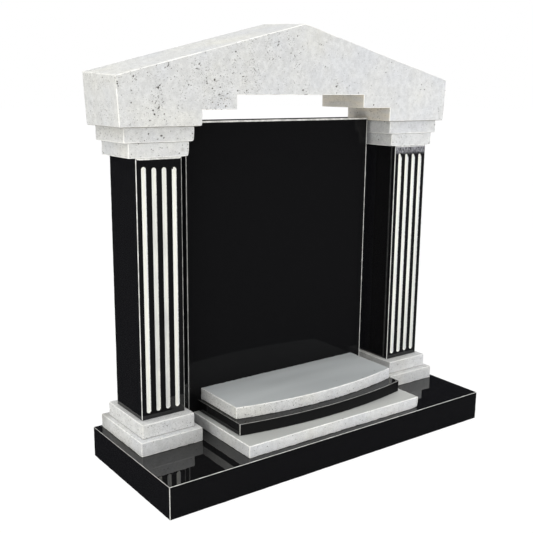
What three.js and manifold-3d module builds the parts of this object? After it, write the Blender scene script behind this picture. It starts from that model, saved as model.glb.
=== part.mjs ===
// Headstone in the form of a small stone portal. Two fluted columns on stepped pedestals carry a pediment,
// an upright slab stands between them, and three stepped shelf slabs lie in front, all on one plinth.
// Millimetres, +Z up. The front faces -Y, and the origin is on the ground under the middle of the plinth.

import * as THREE from 'three';
import { mergeVertices } from 'three/addons/utils/BufferGeometryUtils.js';
import Module from 'manifold-3d';

// Between all stones
const JOINT = 0.3; // thickness of a bed joint
const ARRIS = 3; // chamfer along the edges of a stone
const ARC_STEPS = 28; // straight steps in a curved front

// Plinth
const PLINTH_WIDTH = 1400;
const PLINTH_DEPTH = 550;
const PLINTH_HEIGHT = 110;
const PLINTH_END_MARGIN = 26; // from the end of the plinth to a pedestal
const PLINTH_BACK_MARGIN = 15; // from the back of the plinth to a pedestal

// One support, from the bottom up: every slab is centred on the axis of the column
const LOWER_PEDESTAL = { width: 232, depth: 306, height: 49 };
const UPPER_PEDESTAL = { width: 196, depth: 257, height: 49 };
const COLUMN = { width: 164, depth: 186, height: 868 };
const LOWER_CAPITAL = { width: 216, depth: 192, height: 47 };
const UPPER_CAPITAL = { width: 250, depth: 204, height: 48 };

// Flutes in the front of a column: round-bottomed grooves with round ends
const FLUTE_COUNT = 4;
const FLUTE_WIDTH = 18;
const FLUTE_DEPTH = 7;
const FLUTE_SIDE_MARGIN = 18.5; // from the side of the column to the first flute
const FLUTE_TOP_MARGIN = 24;
const FLUTE_FOOT_MARGIN = 21;
const FLUTE_SECTION_STEPS = 20;
const FLUTE_END_STEPS = 6;

// Pediment
const PEDIMENT_LEG_WIDTH = 292;
const PEDIMENT_DEPTH = 240;
const PEDIMENT_EAVE_HEIGHT = 155;
const PEDIMENT_RIDGE_HEIGHT = 335;
const PEDIMENT_END_FLARE = 9; // how far each end leans out at the eave
const PEDIMENT_BACK_RISE = 12; // how much higher the roof is at the back than at the front
const PEDIMENT_FIRST_STEP = 51; // height of the first step in the underside
const PEDIMENT_SECOND_STEP = 47; // height of the second step above the first
const PEDIMENT_STEP_TREAD = 134; // from the inner side of a leg to the second step

// Upright slab between the columns
const STELE_THICKNESS = 90;
const STELE_SETBACK = 91; // behind the front of the columns
const STELE_SIDE_CLEARANCE = 4; // to the legs of the pediment
const STELE_RISE = 10.5; // above the underside of the pediment's legs

// Shelf slabs, from the bottom up: the first is straight, the two above it have bowed fronts. The inset from the
// end and the setback of the front corners are measured from the lowest slab.
const SHELF_PEDESTAL_GAP = 53; // from the lowest shelf slab to a pedestal
const SHELF_FRONT_MARGIN = 24; // from the front of the plinth to the lowest shelf slab
const LOWER_SHELF = { height: 42, sideInset: 0, cornerSetback: 0, bow: 0 };
const MIDDLE_SHELF = { height: 42, sideInset: 20, cornerSetback: 86, bow: 38 };
const UPPER_SHELF = { height: 42, sideInset: 32, cornerSetback: 127, bow: 44 };

// Places worked out from the sizes
const supportX = PLINTH_WIDTH / 2 - PLINTH_END_MARGIN - LOWER_PEDESTAL.width / 2;
const supportY = PLINTH_DEPTH / 2 - PLINTH_BACK_MARGIN - LOWER_PEDESTAL.depth / 2;
const supportSlabs = [LOWER_PEDESTAL, UPPER_PEDESTAL, COLUMN, LOWER_CAPITAL, UPPER_CAPITAL];
const plinthTop = PLINTH_HEIGHT + JOINT;
const pedimentBottom = supportSlabs.reduce((level, slab) => level + slab.height + JOINT, plinthTop);
const legInnerX = supportX - PEDIMENT_LEG_WIDTH / 2;
const steleFrontY = supportY - COLUMN.depth / 2 + STELE_SETBACK;

const stones = {
  black: () => new THREE.MeshStandardMaterial({ color: 0x131314, roughness: 0.08, metalness: 0 }),
  pale: () => new THREE.MeshStandardMaterial({ color: 0xd9d9d6, roughness: 0.55, metalness: 0 }),
};

// The outline with its convex corners cut off at 45 degrees; turns below 30 degrees stay as they are
function cutCorners(points, cut) {
  return points.flatMap((corner, i) => {
    const before = points.at(i - 1);
    const after = points[(i + 1) % points.length];
    const arriving = corner.clone().sub(before).normalize();
    const leaving = after.clone().sub(corner).normalize();
    const turn = Math.asin(arriving.cross(leaving));
    if (turn < Math.PI / 6) return [corner];
    return [corner.clone().addScaledVector(arriving, -cut), corner.clone().addScaledVector(leaving, cut)];
  });
}

// A stone as a prism over a counter-clockwise outline, from z = 0 to the height, with all arrises chamfered
function stonePrism(points, height) {
  const outline = new THREE.Shape(cutCorners(points, ARRIS));
  const geometry = new THREE.ExtrudeGeometry(outline, {
    depth: height - 2 * ARRIS,
    bevelThickness: ARRIS,
    bevelSize: ARRIS,
    bevelOffset: -ARRIS,
    bevelSegments: 1,
  });
  geometry.translate(0, 0, ARRIS);
  return closed(geometry);
}

// The geometry with its shared vertices merged, so that only a closed skin of positions is left
function closed(geometry) {
  geometry.deleteAttribute('normal');
  geometry.deleteAttribute('uv');
  const skin = mergeVertices(geometry, 1e-3);
  skin.computeVertexNormals();
  return skin;
}

function rectangle(width, depth) {
  const [x, y] = [width / 2, depth / 2];
  return [[-x, -y], [x, -y], [x, y], [-x, y]].map(([px, py]) => new THREE.Vector2(px, py));
}

function block({ width, depth, height }) {
  return stonePrism(rectangle(width, depth), height);
}

// A column's shaft: a block less one capsule for each flute, sunk so that it cuts the stated width and depth
const wasm = await Module();
wasm.setup();

function solid(geometry) {
  const skin = closed(geometry);
  return new wasm.Manifold(new wasm.Mesh({
    numProp: 3,
    vertProperties: new Float32Array(skin.attributes.position.array),
    triVerts: new Uint32Array(skin.index.array),
  }));
}

function geometryOf(manifold) {
  const { vertProperties, triVerts } = manifold.getMesh();
  const geometry = new THREE.BufferGeometry();
  geometry.setAttribute('position', new THREE.BufferAttribute(vertProperties, 3));
  geometry.setIndex(new THREE.BufferAttribute(triVerts, 1));
  geometry.computeVertexNormals();
  return geometry;
}

function flutedColumn() {
  const radius = (FLUTE_WIDTH ** 2 / 4 + FLUTE_DEPTH ** 2) / (2 * FLUTE_DEPTH);
  const endReach = FLUTE_WIDTH / 2; // a round end runs this far past the straight part at the face
  const straight = COLUMN.height - FLUTE_TOP_MARGIN - FLUTE_FOOT_MARGIN - 2 * endReach;
  const middle = FLUTE_FOOT_MARGIN + endReach + straight / 2;
  const firstX = -COLUMN.width / 2 + FLUTE_SIDE_MARGIN + FLUTE_WIDTH / 2;
  const pitch = (-2 * firstX) / (FLUTE_COUNT - 1);
  let shaft = solid(block(COLUMN));
  for (let i = 0; i < FLUTE_COUNT; i++) {
    const flute = new THREE.CapsuleGeometry(radius, straight, FLUTE_END_STEPS, FLUTE_SECTION_STEPS);
    flute.rotateX(Math.PI / 2);
    flute.translate(firstX + i * pitch, -COLUMN.depth / 2 - (radius - FLUTE_DEPTH), middle);
    shaft = shaft.subtract(solid(flute));
  }
  return geometryOf(shaft);
}

// The pediment is drawn in its front view, extruded backwards, and its roof is then lifted towards the back
function pedimentGeometry() {
  const outerX = supportX + PEDIMENT_LEG_WIDTH / 2;
  const stepX = legInnerX - PEDIMENT_STEP_TREAD;
  const soffit = PEDIMENT_FIRST_STEP + PEDIMENT_SECOND_STEP;
  const rightHalf = [
    [stepX, soffit],
    [stepX, PEDIMENT_FIRST_STEP],
    [legInnerX, PEDIMENT_FIRST_STEP],
    [legInnerX, 0],
    [outerX, 0],
    [outerX + PEDIMENT_END_FLARE, PEDIMENT_EAVE_HEIGHT],
  ];
  const leftHalf = rightHalf.map(([x, z]) => [-x, z]).reverse();
  const outline = [...rightHalf, [0, PEDIMENT_RIDGE_HEIGHT], ...leftHalf];
  const geometry = stonePrism(outline.map(([x, z]) => new THREE.Vector2(x, z)), PEDIMENT_DEPTH);
  geometry.rotateX(Math.PI / 2);
  geometry.translate(0, PEDIMENT_DEPTH / 2, 0);
  const position = geometry.attributes.position;
  const roofStart = PEDIMENT_EAVE_HEIGHT - 2 * ARRIS;
  for (let i = 0; i < position.count; i++) {
    if (position.getZ(i) < roofStart) continue;
    const towardsBack = position.getY(i) / PEDIMENT_DEPTH + 0.5;
    position.setZ(i, position.getZ(i) + PEDIMENT_BACK_RISE * towardsBack);
  }
  return geometry;
}

// A shelf slab reaches back to the stele; its front corners are joined by a flat arc that bows out to the front
function shelfGeometry({ height, sideInset, cornerSetback, bow }) {
  const halfWidth = supportX - LOWER_PEDESTAL.width / 2 - SHELF_PEDESTAL_GAP - sideInset;
  const cornerY = -PLINTH_DEPTH / 2 + SHELF_FRONT_MARGIN + cornerSetback;
  const backY = steleFrontY - JOINT;
  const front = bow > 0 ? bowedFront(halfWidth, cornerY, bow) : [];
  const corners = [[halfWidth, cornerY], [halfWidth, backY], [-halfWidth, backY], [-halfWidth, cornerY]];
  return stonePrism([...corners.map(([x, y]) => new THREE.Vector2(x, y)), ...front], height);
}

// The points of the arc between the corners (-halfWidth, cornerY) and (halfWidth, cornerY), without its ends
function bowedFront(halfWidth, cornerY, bow) {
  const radius = (halfWidth ** 2 + bow ** 2) / (2 * bow);
  const spread = Math.asin(halfWidth / radius);
  const arc = new THREE.Path();
  arc.absarc(0, cornerY - bow + radius, radius, -Math.PI / 2 - spread, -Math.PI / 2 + spread, false);
  return arc.getPoints(ARC_STEPS).slice(1, -1);
}

function stone(name, geometry, kind, x, y, z) {
  const mesh = new THREE.Mesh(geometry, stones[kind]());
  mesh.name = name;
  mesh.position.set(x, y, z);
  return mesh;
}

// One support: two pedestal slabs, the column and two capital slabs, stacked on the axis of the column
function support(side) {
  const group = new THREE.Group();
  const pieces = [
    ['pedestal_lower_slab', LOWER_PEDESTAL, 'pale'],
    ['pedestal_upper_slab', UPPER_PEDESTAL, 'pale'],
    ['column', COLUMN, 'black'],
    ['capital_lower_slab', LOWER_CAPITAL, 'pale'],
    ['capital_upper_slab', UPPER_CAPITAL, 'pale'],
  ];
  let level = plinthTop;
  for (const [name, size, kind] of pieces) {
    const geometry = size === COLUMN ? flutedColumn() : block(size);
    group.add(stone(`${side}_${name}`, geometry, kind, 0, 0, level));
    level += size.height + JOINT;
  }
  group.position.set(side === 'left' ? -supportX : supportX, supportY, 0);
  return group;
}

function stele() {
  const width = 2 * (legInnerX - STELE_SIDE_CLEARANCE);
  const height = pedimentBottom + STELE_RISE - plinthTop;
  const geometry = block({ width, depth: STELE_THICKNESS, height });
  return stone('stele', geometry, 'black', 0, steleFrontY + STELE_THICKNESS / 2, plinthTop);
}

function shelves() {
  const pieces = [
    ['shelf_lower_slab', LOWER_SHELF, 'pale'],
    ['shelf_middle_slab', MIDDLE_SHELF, 'black'],
    ['shelf_upper_slab', UPPER_SHELF, 'pale'],
  ];
  let level = plinthTop;
  return pieces.map(([name, size, kind]) => {
    const mesh = stone(name, shelfGeometry(size), kind, 0, 0, level);
    level += size.height + JOINT;
    return mesh;
  });
}

const headstone = new THREE.Group();
const plinthSize = { width: PLINTH_WIDTH, depth: PLINTH_DEPTH, height: PLINTH_HEIGHT };
headstone.add(stone('plinth', block(plinthSize), 'black', 0, 0, 0));
headstone.add(support('left'), support('right'));
headstone.add(stone('pediment', pedimentGeometry(), 'pale', 0, supportY, pedimentBottom));
headstone.add(stele(), ...shelves());

export default headstone;
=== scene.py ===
# A headstone like a small stone portal: black polished granite and pale travertine, in a plain studio.
# Metres, +Z up. The front faces -Y, and the ground is at z = 0.
import math

import bpy
import numpy as np
from mathutils import Matrix, Vector


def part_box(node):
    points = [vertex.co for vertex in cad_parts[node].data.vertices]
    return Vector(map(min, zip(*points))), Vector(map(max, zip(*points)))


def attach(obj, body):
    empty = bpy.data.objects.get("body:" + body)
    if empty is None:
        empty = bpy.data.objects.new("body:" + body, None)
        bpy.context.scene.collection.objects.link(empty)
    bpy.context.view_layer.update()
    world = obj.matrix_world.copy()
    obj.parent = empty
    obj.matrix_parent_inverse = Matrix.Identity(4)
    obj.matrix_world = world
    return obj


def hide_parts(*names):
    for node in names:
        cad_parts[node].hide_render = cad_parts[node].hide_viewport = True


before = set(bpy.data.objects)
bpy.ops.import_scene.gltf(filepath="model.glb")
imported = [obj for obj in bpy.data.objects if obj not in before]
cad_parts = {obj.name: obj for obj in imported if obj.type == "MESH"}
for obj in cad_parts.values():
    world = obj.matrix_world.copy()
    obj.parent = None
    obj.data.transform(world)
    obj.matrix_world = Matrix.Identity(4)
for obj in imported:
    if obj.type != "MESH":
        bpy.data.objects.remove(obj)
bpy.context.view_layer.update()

MM = 0.001
SHELL_WELD = 1e-6  # points closer than this are one point
ARRIS_LINES = np.array([0, 0.7, 1.5, 2.4, 3.4, 4.8, 7.0]) * MM  # grid lines beside every arris
PALE_ARRIS = 2.6 * MM  # radius of a worn arris on pale stone
BLACK_ARRIS = 2.2 * MM  # radius of a ground arris on black stone
PALE_STEP = 3.6 * MM  # spacing of the grid lines on pale stone
PEDIMENT_STEP = 4.2 * MM  # on the pediment
BLACK_STEP = 12 * MM  # and on black stone
PORE_REACH = 6 * MM  # how far round a pore its rim is still measured
CUT_PORE = 1.5 * MM  # pores with a larger radius are cut into the mesh, and the others are only coloured
PORE_DEPTH = 0.8  # of a cut pore, in radii
GRIME_AND_SHADE_REACH = 1.3 * MM  # how far the darkening at a joint, partly grime and partly painted shadow, reaches up or down a stone
GRIME_AND_SHADE_RIM = 1.5 * MM  # from here on the arris beside a joint is free of grime and painted shadow
BASE_ARRIS_REACH = 5 * MM  # how far up an arris counts as one of the underside
SHARP_ANGLE = math.radians(40)
FARTHEST_MM = 20  # distances that the materials read are cut off here

# The camera that was fitted to the picture's corners
PICTURE_WIDTH = 533
FOCAL_LENGTH = 818.158  # in the same dots as the picture's width
SENSOR_WIDTH = 36
CAMERA_PLACE = (-1.7987, -2.2847, 1.3016)
CAMERA_ANGLES = (35.878, -12.478, 0.529)  # turn from +Y, tilt and roll, in degrees

# The pediment's front view, in metres from its middle and its underside
LEG_INNER = 0.412
STEP_INNER = 0.278
FIRST_STEP = 0.051
SOFFIT = 0.098
OUTER = 0.704
END_FLARE = 0.009
EAVE = 0.155
RIDGE = 0.335
BACK_RISE = 0.012

# A flute: a groove with a round bottom and round ends
FLUTE_WIDTH = 18 * MM
FLUTE_DEPTH = 7 * MM
FLUTE_RADIUS = (FLUTE_WIDTH**2 / 4 + FLUTE_DEPTH**2) / (2 * FLUTE_DEPTH)
FLUTE_CENTRES = np.array([-54.5, -54.5 / 3, 54.5 / 3, 54.5]) * MM  # from the axis of the column
FLUTE_FOOT = 21 * MM
FLUTE_TOPS = np.array([26.5, 30, 31, 32]) * MM  # from the top of the column to each flute

# How far down from a dusty column's top, in mm, the dust and the lack of paint reach
DUST_REACH = 32
BARE_REACH = 46

# Where a bowed front starts, along Y
SHELF_CORNERS = {"shelf_middle_slab": -0.165, "shelf_upper_slab": -0.124}

# The faces of a block, in the order in which their distances are listed
SIDES = ("front", "right", "back", "left", "bottom", "top")

# How light each ground arris of a black stone is, from 0 (left black) to 1, and how wide on each face, in
# mm: partly the paler ground stone and partly painted highlight, lighter where an arris catches the light
# and darker at the underside; the last pair is for all arrises that aren't named
BLACK_GROUND_ARRISES_AND_HIGHLIGHTS = {
    "plinth": (
        {("front", "left"): (0.75, 2.0), ("left", "top"): (0.5, 1.7), ("front", "top"): (0.95, 1.3),
         ("right", "top"): (0.6, 1.8), ("front", "right"): (0.4, 1.8), ("front", "bottom"): (0.05, 0.8),
         ("left", "bottom"): (0.05, 0.8)}, (0.4, 1.4)),
    "stele": (
        {("front", "top"): (1.0, 6.0), ("front", "left"): (0.85, 2.4), ("front", "right"): (1.0, 4.2),
         ("left", "top"): (0.6, 1.4), ("right", "top"): (0.6, 1.4)}, (0.3, 1.2)),
    "shelf_middle_slab": (
        {("front", "left"): (0.85, 1.5), ("left", "top"): (0.3, 1.0), ("front", "top"): (0.35, 1.5),
         ("front", "right"): (0.15, 0.9), ("right", "top"): (0.1, 0.9)}, (0.1, 0.9)),
    "column": (
        {("front", "left"): (1.0, 2.1), ("front", "right"): (0.55, 2.6), ("front", "top"): (1.0, 6.0),
         ("left", "top"): (0.4, 1.4), ("front", "bottom"): (0.15, 1.0), ("left", "bottom"): (0.15, 1.0),
         ("right", "bottom"): (0.15, 1.0)}, (0.35, 1.6)),
}

# The larger pores in the pediment's front: place from the middle and the underside, and radius, all in mm
FRONT_PORES = [
    (-569, 119, 3.6), (-365, 145, 3.8), (-654, 152, 3.0), (-462, 128, 2.6), (-590, 51, 3.0), (-585, 40, 3.4),
    (-551, 40, 2.6), (-603, 19, 2.4), (-422, 193, 2.8), (-31, 292, 2.6), (-113, 272, 2.8), (-115, 259, 2.4),
    (-278, 110, 2.6), (-322, 63, 2.8), (-352, 65, 2.4), (-377, 117, 2.8), (-664, 76, 2.4), (-243, 113, 2.8),
    (-6, 114, 2.6), (-345, 123, 2.4), (-287, 234, 2.8), (91, 193, 2.2), (384, 179, 2.4), (573, 136, 2.2),
    (591, 118, 2.4), (329, 64, 3.0), (252, 106, 2.2), (147, 105, 2.2), (144, 129, 2.0), (-8, 116, 2.4),
    (-531, 194, 2.0), (-534, 189, 2.2), (-536, 184, 1.9), (-705, 123, 2.2), (-706, 130, 2.6),
    (-706, 137, 2.2),
]
# Where smaller pores crowd together in that face: place, half length, half width, lean from upright in
# degrees, and how many of them the mesh has; the material adds the finest ones
FRONT_CLUSTERS = [
    (-575, 75, 75, 26, 15, 26), (-570, 130, 50, 18, 10, 14), (-400, 150, 60, 22, 20, 16),
    (-360, 110, 75, 24, 25, 24), (-340, 75, 50, 28, 10, 18), (-245, 130, 60, 18, -5, 14),
    (-215, 190, 90, 16, -12, 22), (-150, 255, 75, 18, -15, 18), (-110, 265, 40, 12, -10, 8),
    (-30, 200, 45, 16, -25, 9), (10, 110, 40, 12, -15, 7), (145, 125, 40, 12, -10, 6),
    (-650, 150, 45, 15, 5, 10), (-430, 190, 40, 16, 10, 9), (-480, 110, 110, 12, 30, 8),
    (-290, 180, 110, 14, 15, 10), (-60, 260, 60, 12, -20, 6),
]
# The same for the left end of the pediment, where the mesh has none: the place is along Y from the front
END_CLUSTERS = [(64, 85, 80, 16, 8), (120, 60, 80, 20, 14), (185, 100, 70, 24, -5)]


def wander(points, length, seed, waves=20):
    """A smooth random value for each point, mostly -2 to 2: a sum of sine waves in random directions, each
    about `length` long, divided so that the spread is 1."""
    draw = np.random.default_rng(seed)
    heading = draw.normal(size=(waves, 3))
    heading /= np.linalg.norm(heading, axis=1, keepdims=True)
    pace = 2 * np.pi / (length * draw.uniform(0.6, 1.7, waves))
    start = draw.uniform(0, 2 * np.pi, waves)
    return np.sqrt(2 / waves) * np.sin(points @ (heading * pace[:, None]).T + start).sum(axis=1)


def grid_lines(low, high, step):
    """Places of grid lines from low to high: close together beside both ends, where the arrises are, and an
    even number of equal steps between."""
    near = ARRIS_LINES[ARRIS_LINES < (high - low) / 2 - 2 * MM]
    count = 2 * max(1, round((high - low - 2 * near[-1]) / step / 2))
    between = np.linspace(low + near[-1], high - near[-1], count + 1)
    return np.concatenate([low + near[:-1], between, high - near[-2::-1]])


def joined(*runs):
    """Several runs of grid lines as one, without the lines that two runs share."""
    return np.concatenate([runs[0]] + [run[1:] for run in runs[1:]])


def sheet_of(a, b, axis, level):
    """A flat grid of points across the given axis, at its level; a runs down the rows and b along the
    columns."""
    rows, columns = np.meshgrid(a, b, indexing="ij")
    grid = np.empty(rows.shape + (3,))
    grid[..., (axis + 1) % 3] = rows
    grid[..., (axis + 2) % 3] = columns
    grid[..., axis] = level
    return grid


def turned(grid):
    """The same grid with rows and columns exchanged, so that its faces point the other way."""
    return grid.swapaxes(0, 1)


def block_faces(xs, ys, zs):
    """The six faces of a block between the first and last of its grid lines, all pointing outwards: the far
    face across each axis is a flat grid, and the near one is the same grid turned."""
    axes = (xs, ys, zs)
    faces = []
    for axis in range(3):
        a, b = axes[(axis + 1) % 3], axes[(axis + 2) % 3]
        faces.append(turned(sheet_of(a, b, axis, axes[axis][0])))
        faces.append(sheet_of(a, b, axis, axes[axis][-1]))
    return faces


def weld(grids, kept=None):
    """One closed skin from several grids of points: every cell of a grid is a face, cells marked False in
    kept are left out, and points in the same place become one. Returns the points and the faces."""
    points, faces, count = [], [], 0
    for i, grid in enumerate(grids):
        rows, columns = grid.shape[:2]
        number = count + np.arange(rows * columns).reshape(rows, columns)
        cells = np.stack([number[:-1, :-1], number[1:, :-1], number[1:, 1:], number[:-1, 1:]], axis=-1)
        mask = kept.get(i) if kept else None
        faces.append(cells.reshape(-1, 4) if mask is None else cells[mask])
        points.append(grid.reshape(-1, 3))
        count += rows * columns
    points, faces = np.concatenate(points), np.concatenate(faces)
    places = np.round(points / SHELL_WELD).astype(np.int64)
    _, first, same = np.unique(places, axis=0, return_index=True, return_inverse=True)
    faces = same.reshape(-1)[faces]
    used, renumbered = np.unique(faces, return_inverse=True)
    return points[first][used], renumbered.reshape(-1, 4)


def outline_pull(flat, outline, reach):
    """How a rounded outline pulls points inwards, and how far each is from the outline's sides.

    A point closer than its reach to a side is pushed away from that side by what is missing; where two
    sides claim it, the shares are solved together, so that it ends at its reach from both. Beside a
    re-entrant corner the push is straight away from the corner. Returns the vector from the settled place
    to the point, and one column of distances for each side and each re-entrant corner (infinite where a
    side doesn't count)."""
    start, end = outline, np.roll(outline, -1, axis=0)
    along = end - start
    length = np.linalg.norm(along, axis=1)
    along = along / length[:, None]
    outward = np.stack([along[:, 1], -along[:, 0]], axis=1)
    before = np.roll(along, 1, axis=0)
    convex = before[:, 0] * along[:, 1] - before[:, 1] * along[:, 0] > 0
    tiny = 1e-7
    offset = flat[:, None, :] - start[None]
    travel = (offset * along).sum(axis=2)
    gap = -(offset * outward).sum(axis=2)
    spare = ARRIS_LINES[-1] + MM
    counts = (travel > np.where(convex, -spare, -tiny)) & (gap > -tiny)
    counts &= travel < length + np.where(np.roll(convex, -1), spare, tiny)
    gap = np.maximum(gap, 0)
    missing = np.where(counts, np.maximum(reach[:, None] - gap, 0), 0)
    share = np.zeros_like(missing)
    overlap = outward @ outward.T
    for _ in range(12):
        for side in range(len(outline)):
            others = share @ overlap[side] - share[:, side]
            share[:, side] = np.where(missing[:, side] > 0, np.maximum(missing[:, side] - others, 0), 0)
    pull = share @ outward
    columns = [np.where(counts, gap, np.inf)]
    for corner in np.flatnonzero(~convex):
        away = start[corner] - flat
        far = np.linalg.norm(away, axis=1)
        beyond = (travel[:, corner - 1] > length[corner - 1]) & (travel[:, corner] < 0)
        push = np.where(beyond, np.maximum(reach - far, 0), 0) / np.maximum(far, tiny)
        pull += away * push[:, None]
        at_corner = far < 1e-6
        pull[at_corner] *= (reach[at_corner] / np.linalg.norm(pull[at_corner], axis=1))[:, None]
        columns.append(np.where(beyond, far, np.inf)[:, None])
    return pull, np.concatenate(columns, axis=1)


def soften(points, outline, plane, low, high, radius):
    """Rounds the arrises of a stone that is an outline in two of the axes (plane) and reaches from low to
    high along the third. Each point moves to the ball of its own radius round the nearest place inside the
    stone. Returns the new points, the direction in which each faces, its distance from the nearest arris,
    and the numbers of the two faces that meet there: the sides of the outline, its re-entrant corners, low
    and high."""
    third = 3 - sum(plane)
    pull, gaps = outline_pull(points[:, plane], outline, radius)
    across = points[:, third]
    full = np.zeros_like(points)
    full[:, plane] = pull
    full[:, third] = across - np.clip(across, low + radius, high - radius)
    size = np.linalg.norm(full, axis=1)
    facing = full / size[:, None]
    rounded = points - full + facing * np.minimum(size, radius)[:, None]
    nearest = np.concatenate([gaps, (across - low)[:, None], (high - across)[:, None]], axis=1)
    order = np.argsort(nearest, axis=1)[:, :2]
    return rounded, facing, np.take_along_axis(nearest, order, axis=1)[:, 1], order


def soften_block(points, low, high, radius):
    """Rounds the arrises of a block in the same way, given its lowest and highest corners."""
    outline = np.array([low[:2], [high[0], low[1]], high[:2], [low[0], high[1]]])
    return soften(points, outline, [0, 1], low[2], high[2], radius)


def arris_radius(points, radius, spread, chip, seed, knocks=()):
    """The radius of the arris at each point: it wanders round its mean, and where a slow random value is
    high the stone is chipped and the radius grows. A knock is a place, its size and how much the radius
    grows there; the growth falls off as a bell curve."""
    uneven = radius * (1 + spread * np.clip(wander(points, 0.028, seed), -2, 2))
    uneven += chip * np.maximum(wander(points, 0.017, seed + 1) - 1.7, 0)
    for place, size, growth in knocks:
        uneven += growth * np.exp(-((np.linalg.norm(points - np.array(place), axis=1) / size) ** 2))
    return np.clip(uneven, 0.35 * radius, ARRIS_LINES[-1] - 0.2 * MM)


def arris_numbers(pair, table, other):
    """For each point of a block, the pair of numbers that the table gives for the arris between its two
    nearest faces, and the other pair where the table doesn't name it."""
    grid = np.tile(np.array(other, dtype=float), (len(SIDES), len(SIDES), 1))
    for names, numbers in table.items():
        a, b = (SIDES.index(name) for name in names)
        grid[a, b] = grid[b, a] = numbers
    return grid[pair[:, 0], pair[:, 1]].T


def pitted(points, places, radii):
    """Pores, each moved to the nearest point of the grid. Returns how far every point sinks, which for a
    cut pore is its depth times one minus the square of the distance in radii, and how far it lies inside
    the rim of its nearest pore, which is the radius less the distance and at least minus the reach."""
    sink, inside = np.zeros(len(points)), np.full(len(points), -PORE_REACH)
    for place, radius in zip(places, radii):
        near = np.flatnonzero(np.abs(points[:, 0] - place[0]) < 2 * PORE_REACH)
        near = near[np.abs(points[near, 2] - place[2]) < 2 * PORE_REACH]
        if len(near) == 0:
            continue
        centre = points[near[np.argmin(((points[near] - place) ** 2).sum(axis=1))]]
        distance = np.linalg.norm(points[near] - centre, axis=1)
        inside[near] = np.maximum(inside[near], radius - distance)
        if radius > CUT_PORE:
            bowl = PORE_DEPTH * radius * np.clip(1 - (distance / radius) ** 2, 0, 1)
            sink[near] = np.maximum(sink[near], bowl)
    return sink, inside


def scattered(points, edge, count, smallest, largest, seed):
    """Random pores: places picked from the points that lie away from the arrises, and radii that are mostly
    small, as the cube of an even random value."""
    draw = np.random.default_rng(seed)
    picked = draw.choice(np.flatnonzero(edge > largest), size=count, replace=False)
    return points[picked], smallest + (largest - smallest) * draw.uniform(0, 1, count) ** 3


def crowding(clusters, across, up):
    """How near each place on a face is to the middle of a cluster: 1 there, falling off as a bell curve
    whose half width is the cluster's. Both places are in mm."""
    share = np.zeros(len(across))
    for x, z, long, wide, lean, *_ in clusters:
        turn = math.radians(lean)
        dx, dz = across - x, up - z
        aside, along = dx * math.cos(turn) - dz * math.sin(turn), dx * math.sin(turn) + dz * math.cos(turn)
        share = np.maximum(share, np.exp(-((aside / wide) ** 2) - (along / long) ** 2))
    return share


def crowded(clusters, front_at, seed):
    """Random pores in clusters on the pediment's front. The spread is a bell curve, wide along the cluster's
    length and narrow across it."""
    draw = np.random.default_rng(seed)
    places, radii = [], []
    for x, z, long, wide, lean, count in clusters:
        turn = math.radians(lean)
        along, aside = draw.normal(0, 0.55 * long, count), draw.normal(0, 0.55 * wide, count)
        flat = x + aside * math.cos(turn) + along * math.sin(turn)
        high = z + along * math.cos(turn) - aside * math.sin(turn)
        places.append(np.stack([flat * MM, np.full(count, front_at), high * MM], axis=1))
        radii.append((0.7 + 1.3 * draw.uniform(0, 1, count) ** 3) * MM)
    return np.concatenate(places), np.concatenate(radii)


def piece_of(node, points, faces, values, finish):
    """A mesh object from points and faces, with one named number on every point for each of the values.
    Edges over the sharp angle stay sharp. It stands for the CAD node and rides on its body."""
    name = f"{node}_stone"
    mesh = bpy.data.meshes.new(name)
    mesh.vertices.add(len(points))
    mesh.vertices.foreach_set("co", points.astype(np.float32).ravel())
    mesh.loops.add(faces.size)
    mesh.loops.foreach_set("vertex_index", faces.astype(np.int32).ravel())
    mesh.polygons.add(len(faces))
    mesh.polygons.foreach_set("loop_start", np.arange(0, faces.size, 4, dtype=np.int32))
    mesh.update(calc_edges=True)
    mesh.shade_smooth()
    mesh.set_sharp_from_angle(angle=SHARP_ANGLE)
    for label, numbers in values.items():
        mesh.attributes.new(label, "FLOAT", "POINT").data.foreach_set("value", numbers.astype(np.float32))
    mesh.materials.append(finish)
    mesh.validate()
    piece = bpy.data.objects.new(name, mesh)
    bpy.context.scene.collection.objects.link(piece)
    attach(piece, "root")
    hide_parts(node)
    return piece


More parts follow.
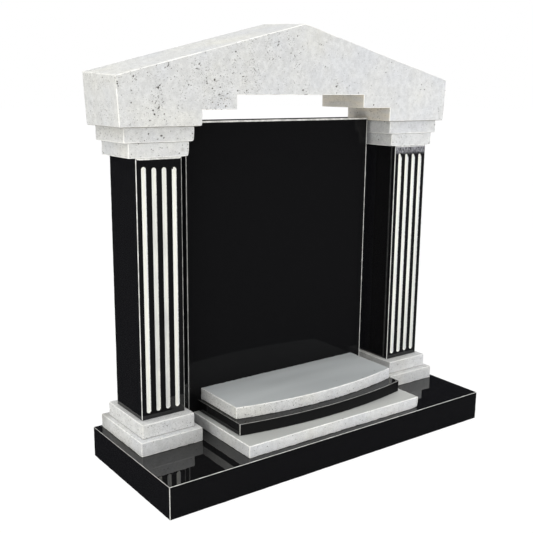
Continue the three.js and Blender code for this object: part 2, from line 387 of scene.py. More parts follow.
class Recipe:
    """The nodes of one material or world, added one after another. Inputs may be numbers, colours or other
    outputs."""

    def __init__(self, owner, empty=False):
        owner.use_nodes = True
        self.owner = owner
        self.tree = owner.node_tree
        if empty:
            self.tree.nodes.clear()

    def put(self, socket, value):
        if isinstance(value, bpy.types.NodeSocket):
            self.tree.links.new(value, socket)
        elif value is not None:
            socket.default_value = value

    def add(self, kind, inputs, output=0, **settings):
        made = self.tree.nodes.new(kind)
        for key, value in settings.items():
            setattr(made, key, value)
        for key, value in inputs.items():
            self.put(made.inputs[key], value)
        return made.outputs[output] if made.outputs else None

    def math(self, operation, a, b=None, c=None):
        return self.add("ShaderNodeMath", {0: a, 1: b, 2: c}, operation=operation)

    def times(self, a, b):
        return self.math("MULTIPLY", a, b)

    def ramp(self, value, low, high, to_low=0.0, to_high=1.0):
        """Turns values from low to high into to_low to to_high, softly at both ends."""
        inputs = {"Value": value, "From Min": low, "From Max": high, "To Min": to_low, "To Max": to_high}
        return self.add("ShaderNodeMapRange", inputs, interpolation_type="SMOOTHSTEP")

    def mix(self, share, a, b, blend="MIX"):
        made = self.tree.nodes.new("ShaderNodeMix")
        made.data_type = "RGBA"
        made.blend_type = blend
        colours = [socket for socket in made.inputs if socket.type == "RGBA"]
        self.put(made.inputs[0], share)
        self.put(colours[0], a)
        self.put(colours[1], b)
        return next(socket for socket in made.outputs if socket.type == "RGBA")

    def place(self, shift=(0, 0, 0), turn=(0, 0, 0), scale=(1, 1, 1)):
        """Object coordinates, shifted, turned and stretched."""
        inputs = {"Vector": self.add("ShaderNodeTexCoord", {}, output=3), "Location": shift,
                  "Rotation": [math.radians(angle) for angle in turn], "Scale": scale}
        return self.add("ShaderNodeMapping", inputs)

    def noise(self, place, scale, detail=3.0, roughness=0.55):
        return self.add("ShaderNodeTexNoise", {"Vector": place, "Scale": scale, "Detail": detail,
                                               "Roughness": roughness})

    def value(self, name):
        """The number that the mesh carries on its points under this name."""
        return self.add("ShaderNodeAttribute", {}, output=2, attribute_name=name)

    def bump(self, height, strength, distance):
        return self.add("ShaderNodeBump", {"Height": height, "Strength": strength, "Distance": distance})

    def finish(self, colour, roughness, normal, mirror=0.5):
        """The finished material. Mirror is how strongly it mirrors, where 0.5 is usual for stone."""
        shader = self.tree.nodes["Principled BSDF"]
        self.put(shader.inputs["Base Color"], colour)
        self.put(shader.inputs["Roughness"], roughness)
        self.put(shader.inputs["Normal"], normal)
        shader.inputs["Specular IOR Level"].default_value = mirror
        return self.owner


def rgb(red, green, blue):
    return (red, green, blue, 1.0)


def shifted(seed):
    """A place of its own in the pattern for each stone, so that clouds and pores don't run on over a
    joint."""
    return tuple(np.random.default_rng(seed).uniform(-8, 8, 3))


def pores(recipe, place, scale, density, largest):
    """Dark pores, one at most in each Voronoi cell: a cell holds one if its first random number is below
    the density, and its second number sets the size. 1 inside a pore and 0 outside."""
    cell = recipe.tree.nodes.new("ShaderNodeTexVoronoi")
    recipe.put(cell.inputs["Vector"], place)
    recipe.put(cell.inputs["Scale"], scale)
    split = recipe.tree.nodes.new("ShaderNodeSeparateColor")
    recipe.put(split.inputs[0], cell.outputs["Color"])
    size = recipe.math("MULTIPLY_ADD", split.outputs[1], largest * 0.75, largest * 0.25)
    inner = recipe.times(size, 0.55)
    hole = recipe.ramp(cell.outputs["Distance"], inner, size, 1.0, 0.0)
    return recipe.times(hole, recipe.math("LESS_THAN", split.outputs[0], density))


def travertine(node, seed, polish_and_shade=None):
    """Honed pale travertine: faint clouds of cool grey and warm cream, fine grain, dark pores, paler arrises
    that are partly worn stone and partly painted highlight, and darkening that is partly dirt and stains and
    partly painted shade at the joints. Given two colours of a polish, the faces where the mesh carries it
    are smooth, and their colour is painted shade and painted reflection of the black stele: darker, drifting
    between the two. Where the mesh is weathered the stone is ochre."""
    stone = Recipe(bpy.data.materials.new(f"pale travertine, {node.replace('_', ' ')}"))
    shift = shifted(seed)
    place = stone.place(shift)
    clouds = stone.noise(place, 4.5, 5.0, 0.6)
    cool, plain, warm = rgb(0.622, 0.630, 0.648), rgb(0.646, 0.648, 0.648), rgb(0.672, 0.668, 0.642)
    tone = stone.mix(stone.ramp(clouds, 0.34, 0.52), cool, plain)
    tone = stone.mix(stone.ramp(clouds, 0.5, 0.68), tone, warm)
    mottle = stone.noise(place, 55.0, 7.0, 0.65)
    grain = stone.noise(place, 420.0, 3.0, 0.6)
    shade = stone.times(stone.ramp(mottle, 0.3, 0.7, 0.89, 1.06), stone.ramp(grain, 0.3, 0.7, 0.89, 1.08))
    grey = stone.add("ShaderNodeCombineColor", {0: shade, 1: shade, 2: shade})
    tone = stone.mix(1.0, tone, grey, "MULTIPLY")

    drawn_out = stone.place(shift, (0, 18, 0), (15, 15, 4.5))
    streaks = stone.ramp(stone.noise(drawn_out, 1.0, 4.0, 0.6), 0.48, 0.68)
    density = stone.math("MULTIPLY_ADD", streaks, 0.10, 0.02)
    density = stone.math("ADD", density, stone.times(stone.value("pore_share"), 0.5))
    medium = pores(stone, place, 160.0, stone.times(density, 0.95), 0.38)
    small = pores(stone, place, 290.0, density, 0.46)
    speckle = stone.math("MAXIMUM", medium, stone.times(small, 0.8))
    if polish_and_shade is not None:
        polished_and_shaded = stone.value("polish_and_shade")
        honed = stone.math("SUBTRACT", 1.0, polished_and_shaded)
        speckle = stone.times(speckle, honed)
    ragged = stone.noise(place, 330.0, 2.0)
    inside = stone.math("MULTIPLY_ADD", ragged, 1.8, stone.value("pore_mm"))
    pore = stone.ramp(inside, 0.6, 1.0)
    dark = stone.math("MAXIMUM", stone.times(speckle, 0.85), stone.times(pore, 0.95))

    # Paler arrises: partly worn stone, partly painted highlight
    edge = stone.math("MULTIPLY_ADD", stone.noise(place, 140.0, 3.0), -3.0, stone.value("edge_mm"))
    arris = stone.times(stone.ramp(edge, 0.2, 1.9, 1.0, 0.0), stone.value("pale_arris_and_highlight"))
    arris = stone.times(arris, stone.ramp(stone.noise(place, 16.0, 3.0), 0.38, 0.56, 0.45, 1.0))
    tone = stone.mix(arris, tone, rgb(0.95, 0.945, 0.92))
    # Darkening from the mesh: stains, and at the joints partly grime and partly painted shadow
    grimed_and_shaded = stone.times(stone.value("dirt_and_shade"), stone.ramp(mottle, 0.3, 0.62, 0.55, 1.0))
    tone = stone.mix(grimed_and_shaded, tone, rgb(0.20, 0.18, 0.145))
    rough = stone.ramp(mottle, 0.3, 0.7, 0.52, 0.68)
    # Polished tops: smooth, and coloured with painted shade and painted reflection of the black stele,
    # drifting between two darker colours
    if polish_and_shade is not None:
        top_shade_drift = stone.noise(stone.place(shift, (0, 0, -8), (2.6, 11, 8)), 1.0, 1.2, 0.4)
        tone = stone.mix(polished_and_shaded, tone, stone.mix(stone.ramp(top_shade_drift, 0.3, 0.7), polish_and_shade[0], polish_and_shade[1]))
        rough = stone.math("MULTIPLY_ADD", polished_and_shaded, stone.math("SUBTRACT", 0.32, rough), rough)
    tone = stone.mix(stone.value("weathered"), tone, rgb(0.76, 0.70, 0.60))
    colour = stone.mix(dark, tone, rgb(0.11, 0.105, 0.095))
    height = stone.math("SUBTRACT", stone.times(grain, 0.12), stone.math("MAXIMUM", speckle, pore))
    if polish_and_shade is not None:
        height = stone.times(height, honed)
    return stone.finish(colour, rough, stone.bump(height, 0.6, 0.9 * MM))


def black_granite(node, seed, fluted=False, mirror=0.5):
    """Black granite with a mirror polish, whose strength is given. The ground arrises are light grey with an
    uneven border and matt, and so is a face that the mesh says is honed; each arris is made lighter or
    darker as painted highlight. The flutes are nearly white: cream on their left, and cooler on their right,
    which is painted shade in the groove, and greyer where the paint is worn, and dust lies where the mesh
    says."""
    stone = Recipe(bpy.data.materials.new(f"black granite, {node.replace('_', ' ')}"))
    shift = shifted(seed)
    place = stone.place(shift)
    crystals = stone.noise(place, 900.0, 2.0)
    darkest, lightest = rgb(0.0056, 0.0056, 0.0060), rgb(0.0092, 0.0092, 0.0101)
    black = stone.mix(stone.ramp(crystals, 0.45, 0.75), darkest, lightest)
    ragged = stone.noise(place, 260.0, 4.0, 0.6)
    patches = stone.noise(place, 38.0, 3.0)
    # Ground arrises: light grey ground stone, lightened or darkened per arris as painted highlight
    border = stone.math("MULTIPLY_ADD", ragged, -0.6, stone.value("arris_widths"))
    arris = stone.ramp(border, 0.5, 0.85, 1.0, 0.0)
    arris = stone.times(arris, stone.value("pale_arris_and_highlight"))
    ground = stone.mix(stone.ramp(patches, 0.3, 0.7), rgb(0.55, 0.55, 0.53), rgb(0.88, 0.875, 0.85))
    colour = stone.mix(arris, black, ground)
    matt = stone.math("MAXIMUM", arris, stone.value("honed"))
    if fluted:
        inside = stone.math("MULTIPLY_ADD", ragged, 1.6, stone.value("flute_mm"))
        white = stone.ramp(inside, 0.75, 1.2)
        soft = stone.noise(stone.place(shift, (0, 0, 0), (60, 60, 9)), 1.0, 4.0)
        # Painted shade across each flute: white on the left, then cream, and blue-grey on the right flank
        across = stone.math("MULTIPLY_ADD", soft, 1.2, stone.value("flute_shading_across"))
        paint = stone.mix(stone.ramp(across, -0.3, 0.5), rgb(0.98, 0.975, 0.95), rgb(0.95, 0.94, 0.86))
        paint = stone.mix(stone.ramp(across, 0.9, 1.7), paint, rgb(0.76, 0.78, 0.82))
        worn = stone.times(stone.value("worn_paint"), stone.ramp(soft, 0.3, 0.6, 0.5, 1.0))
        paint = stone.mix(worn, paint, rgb(0.68, 0.68, 0.665))
        colour = stone.mix(white, colour, paint)
        film = stone.noise(stone.place(shift, (0, 0, 0), (260, 260, 70)), 1.0, 4.0, 0.65)
        dust = stone.times(stone.value("dust"), stone.ramp(film, 0.38, 0.66, 0.1, 1.0))
        colour = stone.mix(dust, colour, rgb(0.34, 0.34, 0.37))
        matt = stone.math("MAXIMUM", matt, stone.math("MAXIMUM", white, dust))
    roughness = stone.math("MULTIPLY_ADD", matt, 0.55, 0.035)
    normal = stone.bump(stone.times(matt, ragged), 0.3, 0.4 * MM)
    return stone.finish(colour, roughness, normal, mirror)


def corners(node):
    """The lowest and highest corner of a CAD node."""
    low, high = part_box(node)
    return np.array(low), np.array(high)


def slab_skin(node, step):
    """The closed skin of a slab before its arrises are rounded, its corners without the bow of its front,
    and how far that bow stands out."""
    low, high = corners(node)
    bow = 0.0
    if node in SHELF_CORNERS:
        bow = SHELF_CORNERS[node] - low[1]
        low[1] = SHELF_CORNERS[node]
    points, faces = weld(block_faces(*(grid_lines(low[i], high[i], step) for i in range(3))))
    return points, faces, low, high, bow


def pale_slab(node, seed, joint="bottom", pore_count=90, polish_and_shade=None, listed=(), knocks=(), arris=0.85,
              base_arris_and_highlight=None, crowd=0.4, grime_and_shade=0.55):
    """A pale slab: a block with worn arrises, and a bowed front where the shelf has one. Near the face named
    as joint it is darker, unless the joint is clean: partly grime from between the stones and partly painted
    shadow along the joint, as dark as the given grime and shade. Arris says how pale the arrises are, and
    base arris how pale those at the underside are: partly worn stone and partly painted highlight. Crowd
    says how many of the fine pores there are. Listed pores (across from the middle, up from the underside,
    radius, in mm) are in the front. A stain is a place, its size and its strength, and fades as a bell
    curve."""
    points, faces, low, high, bow = slab_skin(node, PALE_STEP)
    radius = arris_radius(points, PALE_ARRIS, 0.3, 1.6 * MM, seed, knocks)
    points, facing, edge, _ = soften_block(points, low, high, radius)
    places, sizes = scattered(points, edge, pore_count, 0.7 * MM, 2.5 * MM, seed + 2)
    if listed:
        spots = np.array(listed) * MM
        middle = (low[0] + high[0]) / 2
        front = np.stack([middle + spots[:, 0], low[1] + 0 * spots[:, 0], low[2] + spots[:, 1]], axis=1)
        places, sizes = np.concatenate([places, front]), np.concatenate([sizes, spots[:, 2]])
    sink, inside = pitted(points, places, sizes)
    # Darker beside the joint: partly grime, partly painted shadow along the joint
    from_joint = high[2] - points[:, 2] if joint == "top" else points[:, 2] - low[2]
    grimed_and_shaded = joint != "clean"
    dirt_and_shade = grime_and_shade * grimed_and_shaded * np.clip(1.6 - from_joint / GRIME_AND_SHADE_REACH, 0, 1)
    # Pale arrises, partly worn stone and partly painted highlight, but not beside a darkened joint; the
    # underside's own strength where base arris is given
    light = arris * np.where(grimed_and_shaded, np.clip(from_joint / GRIME_AND_SHADE_RIM - 1, 0, 1), 1)
    if base_arris_and_highlight is not None:
        light = np.where(points[:, 2] < low[2] + BASE_ARRIS_REACH, base_arris_and_highlight, light)
    for place, size, strength in STAINS.get(node, ()):
        dirt_and_shade += strength * np.exp(-((np.linalg.norm(points - np.array(place), axis=1) / size) ** 2))
    points = points - facing * sink[:, None]
    points[:, 1] -= bowed(points, low, high, bow)
    values = {"edge_mm": np.minimum(edge / MM, FARTHEST_MM), "pore_mm": inside / MM, "pale_arris_and_highlight": light,
              "pore_share": np.full(len(points), crowd), "dirt_and_shade": np.clip(dirt_and_shade, 0, 1)}
    # Top faces are polished, and carry the painted shade and painted reflection
    if polish_and_shade is not None:
        values["polish_and_shade"] = np.clip((facing[:, 2] - 0.97) / 0.03, 0, 1)
    return piece_of(node, points, faces, values, travertine(node, seed, polish_and_shade))


def bowed(points, low, high, bow):
    """How far a point of a shelf slab moves to the front: the height of a flat arc over the slab's width at
    this place, fading evenly from the front to the back."""
    if bow == 0:
        return 0.0
    half = (high[0] - low[0]) / 2
    radius = (half**2 + bow**2) / (2 * bow)
    rise = np.sqrt(np.maximum(radius**2 - points[:, 0] ** 2, 0)) - (radius - bow)
    return np.maximum(rise, 0) * (high[1] - points[:, 1]) / (high[1] - low[1])


def black_slab(node, seed, step=BLACK_STEP, honed_front=False, mirror=0.5):
    """A black polished slab: a block with narrow ground arrises, and a bowed front where the shelf has one.
    A honed front is rougher than the polished faces. Mirror is how strongly those mirror the room."""
    points, faces, low, high, bow = slab_skin(node, step)
    radius = arris_radius(points, BLACK_ARRIS, 0.2, 0.5 * MM, seed)
    points, facing, edge, pair = soften_block(points, low, high, radius)
    points[:, 1] -= bowed(points, low, high, bow)
    values = ground_arris(edge, pair, node)
    if honed_front:
        values["honed"] = np.clip((-facing[:, 1] - 0.6) / 0.3, 0, 1)
    finish = black_granite(node, seed, mirror=mirror)
    return piece_of(node, points, faces, values, finish)


def ground_arris(edge, pair, kind):
    """How light the nearest arris of a black stone is, partly its paler ground stone and partly painted
    highlight, and the distance from it in widths of that arris.
    """
    light, width = arris_numbers(pair, *BLACK_GROUND_ARRISES_AND_HIGHLIGHTS[kind])
    return {"pale_arris_and_highlight": light, "arris_widths": np.minimum(edge / (width * MM), 10)}


def flute_lines(half_width):
    """Grid lines across the front of a column: along each flute at sines of even angles, so that they crowd
    at its rims, and a few on the flat strips between."""
    reach = FLUTE_WIDTH / 2
    inside = reach * np.sin(np.radians(np.linspace(-90, 90, 17)))
    strip = np.array([0.6, 1.6, 4.5]) * MM
    near = np.concatenate([ARRIS_LINES[:-1], [half_width + FLUTE_CENTRES[0] - reach - 6 * MM]])
    runs = [-half_width + near]
    for centre in FLUTE_CENTRES:
        runs += [centre - reach - strip[::-1], centre + inside, centre + reach + strip]
    runs.append(half_width - near[::-1])
    return np.concatenate(runs)


def flute_rows(xs, axis, low, high):
    """Heights of the grid's rows on a column's front, for every grid line across it. The rows near a
    flute's end follow its half circle, the square root of radius squared less distance from the middle
    squared, and lie nearly level between the flutes."""
    reach = FLUTE_WIDTH / 2
    aside = np.abs(xs[:, None] - axis - FLUTE_CENTRES[None]).min(axis=1)
    rim = np.sqrt(np.maximum(reach**2 - np.minimum(aside, reach) ** 2, (3 * MM) ** 2))[:, None]
    shares = np.cos(np.radians(np.linspace(0, 90, 8)))[None]
    near = ARRIS_LINES[None] + 0 * rim
    flute = np.abs(xs[:, None] - axis - FLUTE_CENTRES[None]).argmin(axis=1)
    foot, top = low + FLUTE_FOOT + reach, (high - FLUTE_TOPS[flute] - reach)[:, None]
    climb = np.linspace(0, 1, 5)[None, 1:-1]
    foot_margin = low + ARRIS_LINES[-1] + (foot - rim - low - ARRIS_LINES[-1]) * climb
    top_margin = top + rim + (high - ARRIS_LINES[-1] - top - rim) * climb
    straight = foot + (top - foot) * np.linspace(0, 1, 115)[None, 1:-1]
    return np.concatenate([low + near, foot_margin, foot - rim * shares, straight,
                           top + rim * shares[:, ::-1], top_margin, high - near[:, ::-1]], axis=1)


def column(node, seed, dusty=False, chip=None, bare_rim=0.0, worn=(0, 0, 0, 0)):
    """A fluted column: a block whose front sinks along each flute to a round-bottomed groove. Its depth is
    the height of a circle's arc at the distance from the flute's middle line, and zero outside the rim. The
    white ends at the bare rim, in mm inside the flute's own, and is more or less worn in each flute. A chip
    (across from the axis, and height) has lost its white, and a dusty column is dull and less white at its
    top."""
    low, high = corners(node)
    axis = (low[0] + high[0]) / 2
    xs = axis + flute_lines((high[0] - low[0]) / 2)
    rows = flute_rows(xs, axis, low[2], high[2])
    faces_of = block_faces(xs, grid_lines(low[1], high[1], BLACK_STEP), rows[0])
    front = turned(sheet_of(rows[0], xs, 1, low[1]))
    front[..., 2] = rows
    faces_of[2] = front
    points, faces = weld(faces_of)
    offset = points[:, :1] - axis - FLUTE_CENTRES[None]
    flute = np.abs(offset).argmin(axis=1)
    aside = np.abs(offset).min(axis=1)
    foot, top = low[2] + FLUTE_FOOT + FLUTE_WIDTH / 2, high[2] - FLUTE_TOPS[flute] - FLUTE_WIDTH / 2
    beyond = points[:, 2] - np.clip(points[:, 2], foot, top)
    inward = FLUTE_WIDTH / 2 - np.hypot(aside, beyond)
    on_front = points[:, 1] < low[1] + 1e-7
    arc = np.sqrt(np.maximum(FLUTE_RADIUS**2 - (FLUTE_WIDTH / 2 - inward) ** 2, 0))
    cut = arc - (FLUTE_RADIUS - FLUTE_DEPTH)
    cut = np.where(on_front & (inward > 1e-7), cut * (1 + 0.03 * wander(points, 0.03, seed + 5)), 0)
    radius = arris_radius(points, BLACK_ARRIS, 0.2, 0.5 * MM, seed)
    base = points
    points, _, edge, pair = soften_block(points, low, high, radius)
    points[:, 1] += cut
    # Place across each flute, from -1 on its left to 1 on its right, for the painted shade across it
    across = offset[np.arange(len(points)), flute] / (FLUTE_WIDTH / 2)
    share = np.clip((high[2] - base[:, 2]) / (high[2] - low[2]), 0, 1)
    patchy = 0.25 + 1.6 * share + 0.3 * wander(base, 0.25, seed + 6)
    worn_paint = np.array(worn)[flute] * np.clip(patchy, 0, 1)
    painted = np.where(on_front, inward / MM - bare_rim, -FARTHEST_MM)
    if chip is not None:
        aside_chip, above_chip = points[:, 0] - axis - chip[0], points[:, 2] - chip[1]
        slanted = (aside_chip + 0.6 * above_chip) / (1.8 * MM)
        painted = painted - 12 * np.exp(-(slanted**2) - (above_chip / (3.5 * MM)) ** 2)
    dust = np.zeros(len(points))
    if dusty:
        drop = (high[2] - base[:, 2]) / MM
        painted = np.where(on_front, painted - np.clip((BARE_REACH - drop) / 22, 0, 1) * 5, painted)
        dust = np.where(on_front, np.clip((DUST_REACH - drop) / 8, 0.02, 1), 0)
    values = {"flute_mm": np.clip(painted, -FARTHEST_MM, FARTHEST_MM),
              "flute_shading_across": np.clip(across, -1.5, 1.5), "dust": dust, "worn_paint": worn_paint}
    values.update(ground_arris(edge, pair, "column"))
    finish = black_granite(node, seed, fluted=True)
    return piece_of(node, points, faces, values, finish)


def roof_height(x):
    """Height of the pediment's front roof line over its underside, at a place along its width: a straight
    slope from the ridge to the eave, where the width includes the flare of the ends."""
    across = np.abs(x) + END_FLARE * np.maximum(np.abs(x) - LEG_INNER, 0) / (OUTER - LEG_INNER)
    return RIDGE - (RIDGE - EAVE) * across / (OUTER + END_FLARE)


def flared(x, z):
    """The place along the width after the ends lean out: nothing at the inner side of a leg, and at the end
    the flare times the height's share of the eave."""
    out = np.maximum(np.abs(x) - LEG_INNER, 0) / (OUTER - LEG_INNER)
    return x + np.sign(x) * END_FLARE * out * np.minimum(z / EAVE, 1)


def pediment(seed):
    """The pediment: its front view is a grid of lines across the width and rows of points between the
    underside and the roof, with the cells of the opening left out; the roof, the ends, the underside and
    the back close it. The roof is then lifted towards the back in proportion to the depth."""
    low, high = corners("pediment")
    step = PEDIMENT_STEP
    turns = (-OUTER, -LEG_INNER, -STEP_INNER, STEP_INNER, LEG_INNER, OUTER)
    stretches = list(zip(turns, turns[1:]))
    xs = joined(*(grid_lines(a, b, step) for a, b in stretches))
    ys = grid_lines(low[1], high[1], 2.2 * step)
    legs = joined(grid_lines(0, FIRST_STEP, step), grid_lines(FIRST_STEP, SOFFIT, step))
    near = ARRIS_LINES
    roof = roof_height(xs)[:, None]
    climb = np.linspace(0, 1, 50)[None]
    upper = np.concatenate([SOFFIT + near[None, 1:-1] + 0 * roof,
                            SOFFIT + near[-1] + (roof - SOFFIT - 2 * near[-1]) * climb,
                            roof - near[None, -2::-1]], axis=1)
    rows = np.concatenate([legs[None] + 0 * roof, upper], axis=1)
    across = flared(xs[:, None] + 0 * rows, rows)
    first, second = np.searchsorted(legs, FIRST_STEP - 1e-6), np.searchsorted(legs, SOFFIT - 1e-6)
    middle = np.abs(xs[1:] + xs[:-1]) / 2
    bottom = np.where(middle > LEG_INNER, 0, np.where(middle > STEP_INNER, first, second))
    solid = np.arange(rows.shape[1] - 1)[None] >= bottom[:, None]

    def upright(i, y):
        """Points of the front view, or of one of its lines, at the given depths."""
        flat = np.stack([across[i], np.zeros_like(across[i]), rows[i]], axis=-1)
        return flat + np.multiply.outer(y, np.array([0.0, 1.0, 0.0]))

    def wall(i, part):
        """The upright face over one line of the front view, or over a part of that line."""
        return np.stack([upright(i, y + 0 * rows[i])[part] for y in ys], axis=1)

    def line(place):
        """The number of the grid line at a place along the width."""
        return int(np.argmin(np.abs(xs - place)))

    def level(part, row):
        """The face over one row of the front view, along a part of the width."""
        lines = [np.stack([across[part, row], y + 0 * xs[part], rows[part, row]], axis=-1) for y in ys]
        return np.stack(lines, axis=1)

    front = upright(slice(None), low[1] + 0 * rows)
    back = turned(upright(slice(None), high[1] + 0 * rows))
    whole, to_first, to_second = slice(None), slice(0, first + 1), slice(first, second + 1)
    grids = [front, back, wall(0, whole), turned(wall(len(xs) - 1, whole)),
             turned(wall(line(-LEG_INNER), to_first)), wall(line(LEG_INNER), to_first),
             turned(wall(line(-STEP_INNER), to_second)), wall(line(STEP_INNER), to_second),
             level(whole, -1)]
    for (a, b), row in zip(stretches, (0, first, second, first, 0)):
        grids.append(turned(level(slice(line(a), line(b) + 1), row)))
    points, faces = weld(grids, {0: solid, 1: solid.T})

    half = [(STEP_INNER, SOFFIT), (STEP_INNER, FIRST_STEP), (LEG_INNER, FIRST_STEP), (LEG_INNER, 0),
            (OUTER, 0), (OUTER + END_FLARE, EAVE)]
    outline = np.array(half + [(0, RIDGE)] + [(-x, z) for x, z in half[::-1]])
    front_at = low[1]
    knocks = [((-0.708, front_at, 0.129), 0.011, 3.5 * MM), ((-0.533, front_at, 0.191), 0.006, 3 * MM),
              ((-0.412, front_at, 0.0), 0.014, 6 * MM), ((-0.713, front_at, 0.155), 0.008, 2 * MM)]
    radius = arris_radius(points, PALE_ARRIS, 0.35, 2.2 * MM, seed, knocks)
    points, facing, edge, _ = soften(points, outline, [0, 2], low[1], high[1], radius)

    places, sizes = scattered(points, edge, 300, 0.6 * MM, 2.2 * MM, seed + 2)
    listed = np.array(FRONT_PORES) * MM
    front_places = np.stack([listed[:, 0], front_at + 0 * listed[:, 0], listed[:, 1]], axis=1)
    many, many_sizes = crowded(FRONT_CLUSTERS, front_at, seed + 3)
    sink, inside = pitted(points, np.concatenate([places, front_places, many]),
                          np.concatenate([sizes, listed[:, 2], many_sizes]))
    points = points - facing * sink[:, None]

    share = (points[:, 2] - SOFFIT) / (roof_height(points[:, 0]) - SOFFIT)
    backwards = (points[:, 1] - low[1]) / (high[1] - low[1])
    # Darker along the underside: partly grime in the joint, partly painted shade under the downward arris
    bottom = np.clip(1.6 - points[:, 2] / GRIME_AND_SHADE_REACH, 0, 1)
    # Pale arrises, partly worn stone and partly painted highlight: none along the darkened underside, and
    # weaker high on the left end
    light = np.where(bottom > 0, 0.0, 0.85)
    light = np.where((points[:, 0] < -OUTER) & (points[:, 2] > 0.75 * EAVE), 0.35 * light, light)
    opening = (np.abs(points[:, 0]) < LEG_INNER + MM) & (points[:, 2] < SOFFIT + MM)
    opening &= (backwards > 0.004) & (backwards < 0.996)
    patchy = wander(points * np.array([1, 0.25, 1]), 0.03, seed + 5)
    weathered = 0.75 * opening * np.clip(0.8 + 0.25 * patchy, 0, 1)
    on_front, on_end = facing[:, 1] < -0.5, facing[:, 0] < -0.5
    crowd = np.where(on_front, crowding(FRONT_CLUSTERS, points[:, 0] / MM, points[:, 2] / MM), 0.05)
    end = crowding(END_CLUSTERS, (points[:, 1] - low[1]) / MM, points[:, 2] / MM)
    crowd = np.where(on_end, end, crowd) + np.clip(0.06 - 0.16 * points[:, 0], 0, 0.16)
    points[:, 2] += low[2] + BACK_RISE * backwards * np.clip(share, 0, 1)
    values = {"edge_mm": np.minimum(edge / MM, FARTHEST_MM), "pore_mm": inside / MM, "pale_arris_and_highlight": light,
              "pore_share": np.clip(crowd, 0, 1), "dirt_and_shade": 0.85 * bottom, "weathered": weathered}
    return piece_of("pediment", points, faces, values, travertine("pediment", seed))


# The two colours between which a polished top drifts: painted shade and painted reflection of the black
# stele, darker than the honed stone
UPPER_TOP_SHADE = (rgb(0.47, 0.493, 0.505), rgb(0.55, 0.575, 0.588))
LOWER_TOP_SHADE = (rgb(0.46, 0.47, 0.46), rgb(0.56, 0.57, 0.555))
# The larger pores in the front of the left capital's upper slab: across, up and radius, in mm
CAPITAL_PORES = [(-39, 27, 2.8), (8, 22, 2.4), (-7, 11, 2.4), (14, 14, 2.6), (118, 23, 2.2), (-80, 30, 1.6),
                 (40, 33, 1.6), (66, 12, 1.8), (-100, 14, 1.5)]
# Brown stains: place, size and strength
STAINS = {
    "left_pedestal_lower_slab": [((-0.668, 0.245, 0.1593), 0.03, 0.6)],
    "left_capital_lower_slab": [((-0.474, 0.011, 1.099), 0.006, 0.45)],
    "right_pedestal_lower_slab": [((0.445, 0.05, 0.14), 0.03, 0.4)],
    "right_pedestal_upper_slab": [((0.46, 0.10, 0.185), 0.10, 0.14), ((0.51, -0.02, 0.19), 0.03, 0.1)],
}
# A knocked corner: its size, and how much its radius grows
KNOCK_SIZE = 14 * MM
KNOCK_GROWTH = 5 * MM
CAPITAL_INNER = 0.450  # the inner end of a lower capital slab
CAPITAL_OVERHANG = 0.017  # how much further in the upper one reaches

pediment(seed=11)
black_slab("plinth", seed=21)
black_slab("stele", seed=22, mirror=0.12)
black_slab("shelf_middle_slab", seed=23, step=6 * MM, honed_front=True, mirror=0.24)
pale_slab("shelf_lower_slab", seed=31, joint="clean", pore_count=70, polish_and_shade=LOWER_TOP_SHADE,
          knocks=[((0.389, -0.251, 0.110), KNOCK_SIZE, KNOCK_GROWTH)])
pale_slab("shelf_upper_slab", seed=32, joint="clean", pore_count=50, polish_and_shade=UPPER_TOP_SHADE, arris=0.6,
          crowd=0.7)
for side, seed in (("left", 40), ("right", 60)):
    if side == "left":
        column("left_column", seed, chip=(0.051, 1.040), bare_rim=0.8, worn=(0.1, 0.9, 1.0, 0.2))
    else:
        column("right_column", seed, dusty=True, worn=(0.3, 0.4, 0.5, 0.6))
    pale_slab(f"{side}_pedestal_lower_slab", seed + 4, joint="clean", arris=0.45, base_arris_and_highlight=0.95)
    pale_slab(f"{side}_pedestal_upper_slab", seed + 7, arris=0.45, grime_and_shade=0.85)
    outwards = -1 if side == "left" else 1
    pale_slab(f"{side}_capital_lower_slab", seed + 10, joint="top",
              knocks=[((outwards * CAPITAL_INNER, 0.011, 1.0772), KNOCK_SIZE, KNOCK_GROWTH)])
    inner_upper = outwards * (CAPITAL_INNER - CAPITAL_OVERHANG)
    pale_slab(f"{side}_capital_upper_slab", seed + 13, joint="top",
              listed=CAPITAL_PORES if side == "left" else (),
              knocks=[((inner_upper, 0.005, 1.1245), KNOCK_SIZE, KNOCK_GROWTH)])


def aim_camera():
    """The fitted camera. It looks along +Y turned to the right, tilted and rolled by its three angles."""
    turn, tilt, roll = (math.radians(angle) for angle in CAMERA_ANGLES)
    ahead = Vector((math.sin(turn) * math.cos(tilt), math.cos(turn) * math.cos(tilt), math.sin(tilt)))
    level = Vector((math.cos(turn), -math.sin(turn), 0))
    above = level.cross(ahead)
    right = math.cos(roll) * level + math.sin(roll) * above
    up = math.cos(roll) * above - math.sin(roll) * level
    data = bpy.data.cameras.new("camera")
    data.sensor_width = SENSOR_WIDTH
    data.lens = SENSOR_WIDTH * FOCAL_LENGTH / PICTURE_WIDTH
    camera = bpy.data.objects.new("camera", data)
    turned_round = Matrix((right, up, -ahead)).transposed().to_4x4()
    camera.matrix_world = Matrix.Translation(CAMERA_PLACE) @ turned_round
    bpy.context.scene.collection.objects.link(camera)
    bpy.context.scene.camera = camera


def soft_light(name, place, target, size, power, colour=(1, 1, 1)):
    """A large square lamp that faces the target. It lights the stones but isn't mirrored in them."""
    data = bpy.data.lights.new(name, "AREA")
    data.size = size
    data.energy = power
    data.color = colour
    lamp = bpy.data.objects.new(name, data)
    lamp.location = place
    lamp.rotation_euler = (Vector(target) - Vector(place)).to_track_quat("-Z", "Y").to_euler()
    lamp.visible_glossy = False
    lamp.visible_camera = False
    bpy.context.scene.collection.objects.link(lamp)


ROOM_LIGHT = 0.80  # how bright the even light is
MIRRORED_ROOM = 0.027  # how bright the polished faces mirror the room
FLOOR_HALF = 40  # half the side of the floor
FLOOR_WHITE = 0.93  # how much of the floor is plain white to the camera; the rest is lit paper


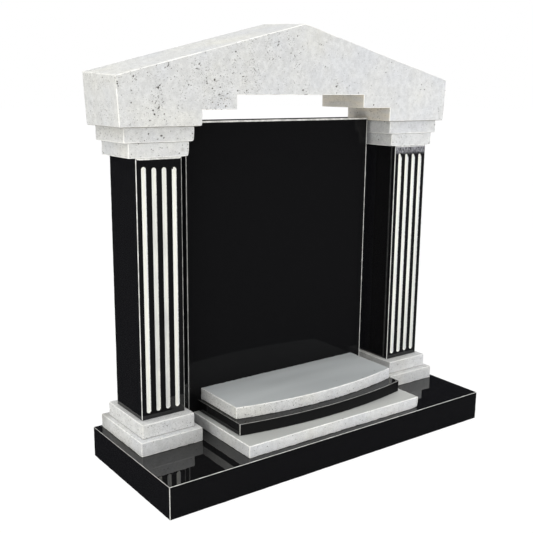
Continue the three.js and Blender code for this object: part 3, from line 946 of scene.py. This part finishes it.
def studio():
    """A white room: even light from all round, a large soft lamp overhead and three weak ones at the sides.
    The polished faces mirror a dark room. The floor is pale, and the camera sees it nearly white."""
    world = bpy.data.worlds.new("studio")
    bpy.context.scene.world = world
    room = Recipe(world, empty=True)
    lit = room.add("ShaderNodeBackground", {"Color": rgb(1, 1, 1), "Strength": ROOM_LIGHT})
    dark = room.add("ShaderNodeBackground", {"Color": rgb(0.75, 0.78, 1.0), "Strength": MIRRORED_ROOM})
    white = room.add("ShaderNodeBackground", {"Color": rgb(1, 1, 1), "Strength": 1.0})
    by_mirror = room.add("ShaderNodeLightPath", {}, "Is Glossy Ray")
    by_camera = room.add("ShaderNodeLightPath", {}, "Is Camera Ray")
    around = room.add("ShaderNodeMixShader", {0: by_mirror, 1: lit, 2: dark})
    around = room.add("ShaderNodeMixShader", {0: by_camera, 1: around, 2: white})
    room.add("ShaderNodeOutputWorld", {"Surface": around})

    soft_light("overhead lamp", (-1.4, -0.1, 4.8), (0, 0, 0.8), 4.0, 110, (1, 1, 0.96))
    soft_light("left lamp", (-4.0, -0.9, 1.7), (0, 0, 0.9), 2.6, 25, (1, 0.985, 0.86))
    soft_light("low left lamp", (-2.9, -2.0, 0.4), (-0.1, -0.1, 0.1), 1.2, 20, (1, 0.99, 0.92))
    soft_light("right lamp", (2.2, -2.2, 0.7), (0.4, 0, 0.5), 1.6, 36, (0.985, 0.995, 1))

    floor_mesh = bpy.data.meshes.new("floor")
    square = [(x * FLOOR_HALF, y * FLOOR_HALF, 0) for x, y in ((-1, -1), (1, -1), (1, 1), (-1, 1))]
    floor_mesh.from_pydata(square, [], [(0, 1, 2, 3)])
    floor = bpy.data.objects.new("floor", floor_mesh)
    bpy.context.scene.collection.objects.link(floor)
    paper = Recipe(bpy.data.materials.new("pale paper"), empty=True)
    by_camera = paper.add("ShaderNodeLightPath", {}, "Is Camera Ray")
    sheet = paper.add("ShaderNodeBsdfDiffuse", {"Color": rgb(0.78, 0.78, 0.78)})
    glow = paper.add("ShaderNodeEmission", {"Color": rgb(1, 1, 1), "Strength": 1.04})
    share = paper.times(by_camera, FLOOR_WHITE)
    surface = paper.add("ShaderNodeMixShader", {0: share, 1: sheet, 2: glow})
    paper.add("ShaderNodeOutputMaterial", {"Surface": surface})
    floor_mesh.materials.append(paper.owner)
    floor.visible_glossy = False


aim_camera()
studio()
bpy.context.scene.view_settings.view_transform = "Standard"
bpy.context.scene.view_settings.look = "None"
